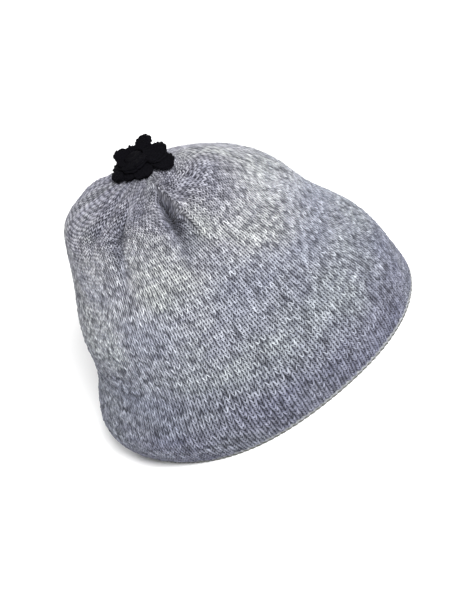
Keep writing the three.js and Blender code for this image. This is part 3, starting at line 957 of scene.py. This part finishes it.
def petal_point(row, root_height, u, across, side):
    """A point of a petal: u from root to tip, across between its edges, side from its underside."""
    azimuth, half_angle, tip_radius, tip_height, lift, ruffle = row
    half_angle = half_angle * PETAL_OVERLAP
    middle_radius = (ROOT_RADIUS + tip_radius) / 2
    middle_height = (root_height + tip_height) / 2 + lift
    radius = (1 - u) ** 2 * ROOT_RADIUS + 2 * u * (1 - u) * middle_radius + u ** 2 * tip_radius
    height = (1 - u) ** 2 * root_height + 2 * u * (1 - u) * middle_height + u ** 2 * tip_height
    along_radius = (1 - u) * (middle_radius - ROOT_RADIUS) + u * (tip_radius - middle_radius)
    along_height = (1 - u) * (middle_height - root_height) + u * (tip_height - middle_height)
    length = np.hypot(along_radius, along_height)
    offset = side * PETAL_THICKNESS / 2
    radius = radius - along_height / length * offset
    height = height + along_radius / length * offset + ruffle * u * np.sin(np.pi * across)
    belly = 1 - PETAL_BELLY + PETAL_BELLY * np.sin(np.pi * u)
    outline = np.sqrt(np.clip(1 - u ** PETAL_TIP_ROUNDNESS, 0, 1)) * belly
    angle = np.radians(azimuth + half_angle * outline * across)
    x = GATHER_X + radius * np.cos(angle)
    y = GATHER_Y + radius * np.sin(angle)
    return np.stack([x, y, CROWN_LEVEL + height], -1)


def capped_rings(name, rings, first_end, last_end):
    """A closed piece from rings of points, with a point at each end."""
    count, section = rings.shape[:2]
    points = np.concatenate([rings.reshape(-1, 3), [first_end], [last_end]])
    one = np.arange(section)
    other = (one + 1) % section
    start = (np.arange(count - 1) * section)[:, None]
    above = start + section
    quads = np.stack([start + one, start + other, above + other, above + one], -1)
    faces = quads.reshape(-1, 4).tolist()
    last = (count - 1) * section
    end = count * section
    for i, j in zip(one.tolist(), other.tolist()):
        faces.append((j, i, end))
        faces.append((last + i, last + j, end + 1))
    return new_mesh(name, points, faces)


def store_black_yarn(piece, yarn, u, v):
    """Stores what the wool material reads, for the rings of a capped piece and its two ends."""
    yarn = np.stack(np.broadcast_arrays(*yarn), -1).reshape(-1, 3)
    store(piece, "yarn", np.concatenate([yarn, yarn[:1], yarn[-1:]]))
    uv = np.stack(np.broadcast_arrays(u, v), -1).reshape(-1, 2)
    store_bake_uv(piece, np.concatenate([uv, [[0.5, 0.0]], [[0.5, 1.0]]]))


def build_petal(name, row, root_height):
    """A crocheted petal: posts fan out from its root, and the yarn round them raises knots."""
    u = np.sin(np.pi / 2 * np.linspace(*PETAL_ENDS, PETAL_STATIONS))[:, None]
    round_it = np.arange(PETAL_SECTION_POINTS)[None, :] / PETAL_SECTION_POINTS
    angle = 2 * np.pi * round_it
    across = np.cos(angle) + 0 * u
    side = np.sign(np.sin(angle)) * np.abs(np.sin(angle)) ** PETAL_FLATNESS
    grid = petal_point(row, root_height, u + 0 * angle, across, side + 0 * u)
    normal = grid_normals(grid)
    length = row[2] - ROOT_RADIUS + PETAL_YARN_PAST
    posts_over = PETAL_POSTS * (across + 1) / 2
    post = np.abs(np.sin(np.pi * posts_over)) ** POST_ROUNDNESS
    stagger = 0.5 * (np.minimum(np.floor(posts_over), PETAL_POSTS - 1) % 2)
    knot = np.abs(np.sin(np.pi * (u * length / KNOT_LENGTH + stagger))) ** KNOT_ROUNDNESS
    relief = post * (POST_SHARE + (1 - POST_SHARE) * knot)
    grid = grid + normal * ((relief - POST_SHARE) * KNOT_HEIGHT)[..., None]
    piece = capped_rings(name, grid, grid[0].mean(0), grid[-1].mean(0))
    yarn = (u * length, across * PETAL_YARN_ACROSS, row[0])
    store_black_yarn(piece, yarn, map_places(round_it, BLACK_MAP_MARGIN), u)
    return piece


def build_eye():
    """The worked eye: rounds of small knots drawn in to the middle."""
    s = np.linspace(0, 1, EYE_RINGS)[:, None]
    round_it = np.arange(EYE_SECTION_POINTS)[None, :] / EYE_SECTION_POINTS
    angle = 2 * np.pi * round_it
    stagger = np.floor(s * EYE_ROUNDS) * np.pi / 2
    knot = np.abs(np.sin(EYE_KNOTS / 2 * angle + stagger)) * np.abs(np.sin(np.pi * s * EYE_ROUNDS))
    radius = np.interp(s, EYE_AT, EYE_RADII) + EYE_KNOT_OUT * knot * (1 - s ** EYE_FADE_OUT)
    raised = EYE_KNOT_UP * knot * smoothstep(s, *EYE_TURNS_LEVEL) * (1 - s ** EYE_FADE_UP)
    height = np.interp(s, EYE_AT, EYE_HEIGHTS) + raised
    x = GATHER_X + radius * np.cos(angle)
    y = GATHER_Y + radius * np.sin(angle)
    rings = np.stack(np.broadcast_arrays(x, y, CROWN_LEVEL + height), -1)
    bottom = (GATHER_X, GATHER_Y, CROWN_LEVEL + EYE_FOOT)
    top = (GATHER_X, GATHER_Y, CROWN_LEVEL + EYE_MIDDLE)
    piece = capped_rings("crochet_eye", rings, bottom, top)
    yarn = (angle * EYE_YARN_ROUND, s * EYE_YARN_IN, 0.0)
    u = map_places(round_it, BLACK_MAP_MARGIN)
    store_black_yarn(piece, yarn, u, map_places(s, BLACK_MAP_MARGIN))
    return piece


def finish_piece(piece, material, node):
    """Gives a piece its finish and the body that it moves with, and hides the solid that it stands
    for.
    """
    piece.data.materials.append(material)
    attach(piece, "root")
    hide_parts(node)


def build_rosette():
    material = black_wool_material()
    for number, row in enumerate(LOWER_PETALS, 1):
        piece = build_petal(f"crochet_lower_petal_{number}", row, LOWER_ROOT_HEIGHT)
        finish_piece(piece, material, f"lower_petal_{number}")
    for number, row in enumerate(UPPER_PETALS, 1):
        piece = build_petal(f"crochet_upper_petal_{number}", row, UPPER_ROOT_HEIGHT)
        finish_piece(piece, material, f"upper_petal_{number}")
    finish_piece(build_eye(), material, "rosette_eye")


def build_floor():
    mesh = bpy.data.meshes.new("floor")
    signs = [(-1, -1), (1, -1), (1, 1), (-1, 1)]
    corners = [(FLOOR_REACH * x, FLOOR_REACH * y, 0) for x, y in signs]
    mesh.from_pydata(corners, [], [(0, 1, 2, 3)])
    floor = bpy.data.objects.new("floor", mesh)
    bpy.context.scene.collection.objects.link(floor)
    finish = {"Base Color": (*FLOOR_TINT, 1), "Roughness": FLOOR_ROUGHNESS}
    floor.data.materials.append(new_material("pale_floor", finish)[0])


def looking_from(azimuth, elevation):
    """The direction of a place that is seen at an azimuth from the front and at an elevation."""
    a = math.radians(azimuth)
    e = math.radians(elevation)
    return Vector((math.sin(a) * math.cos(e), -math.cos(a) * math.cos(e), math.sin(e)))


def camera_axes():
    back = looking_from(CAMERA_AZIMUTH, CAMERA_ELEVATION)
    azimuth = math.radians(CAMERA_AZIMUTH)
    roll = math.radians(CAMERA_ROLL)
    level_right = Vector((math.cos(azimuth), math.sin(azimuth), 0))
    level_up = back.cross(level_right)
    right = level_right * math.cos(roll) + level_up * math.sin(roll)
    up = level_up * math.cos(roll) - level_right * math.sin(roll)
    return right, up, back


def build_camera():
    """The camera stands at the photograph's angle to the hat, rolled so that the hat leans."""
    right, up, back = camera_axes()
    aside = (PHOTO_SIZE[0] / 2 - LOOK_PIXEL[0]) * PHOTO_SCALE
    below = (PHOTO_SIZE[1] / 2 - LOOK_PIXEL[1]) * PHOTO_SCALE
    aim = Vector(LOOK_POINT) + right * aside - up * below
    data = bpy.data.cameras.new("camera")
    data.sensor_width = SENSOR
    data.lens = SENSOR * CAMERA_DISTANCE / (PHOTO_SCALE * PHOTO_SIZE[1])
    data.clip_end = CLIP_END
    camera = bpy.data.objects.new("camera", data)
    camera.matrix_world = Matrix((right, up, back)).transposed().to_4x4()
    camera.location = (aim + back * CAMERA_DISTANCE) * MM
    bpy.context.scene.collection.objects.link(camera)
    bpy.context.scene.camera = camera


def build_light(name, azimuth, elevation, distance, size, power):
    """A soft square light that looks at the hat from a turn and a height."""
    data = bpy.data.lights.new(name, "AREA")
    data.size = size
    data.energy = power
    light = bpy.data.objects.new(name, data)
    back = looking_from(azimuth, elevation)
    light.location = Vector(LIGHT_AIM) + back * distance
    light.rotation_mode = "QUATERNION"
    light.rotation_quaternion = (-back).to_track_quat("-Z", "Y")
    light.visible_camera = False
    bpy.context.scene.collection.objects.link(light)


def build_lights():
    for row in LIGHTS:
        build_light(*row)
    world = bpy.data.worlds.new("studio")
    world.use_nodes = True
    sky = world.node_tree.nodes["Background"]
    sky.inputs["Color"].default_value = (1, 1, 1, 1)
    sky.inputs["Strength"].default_value = WORLD_STRENGTH
    bpy.context.scene.world = world
    bpy.context.scene.view_settings.view_transform = "Standard"


build_camera()
build_lights()
build_floor()
build_knit()
finish_piece(build_rim_chain(), edge_wool_material(), "rim_edging")
build_rosette()
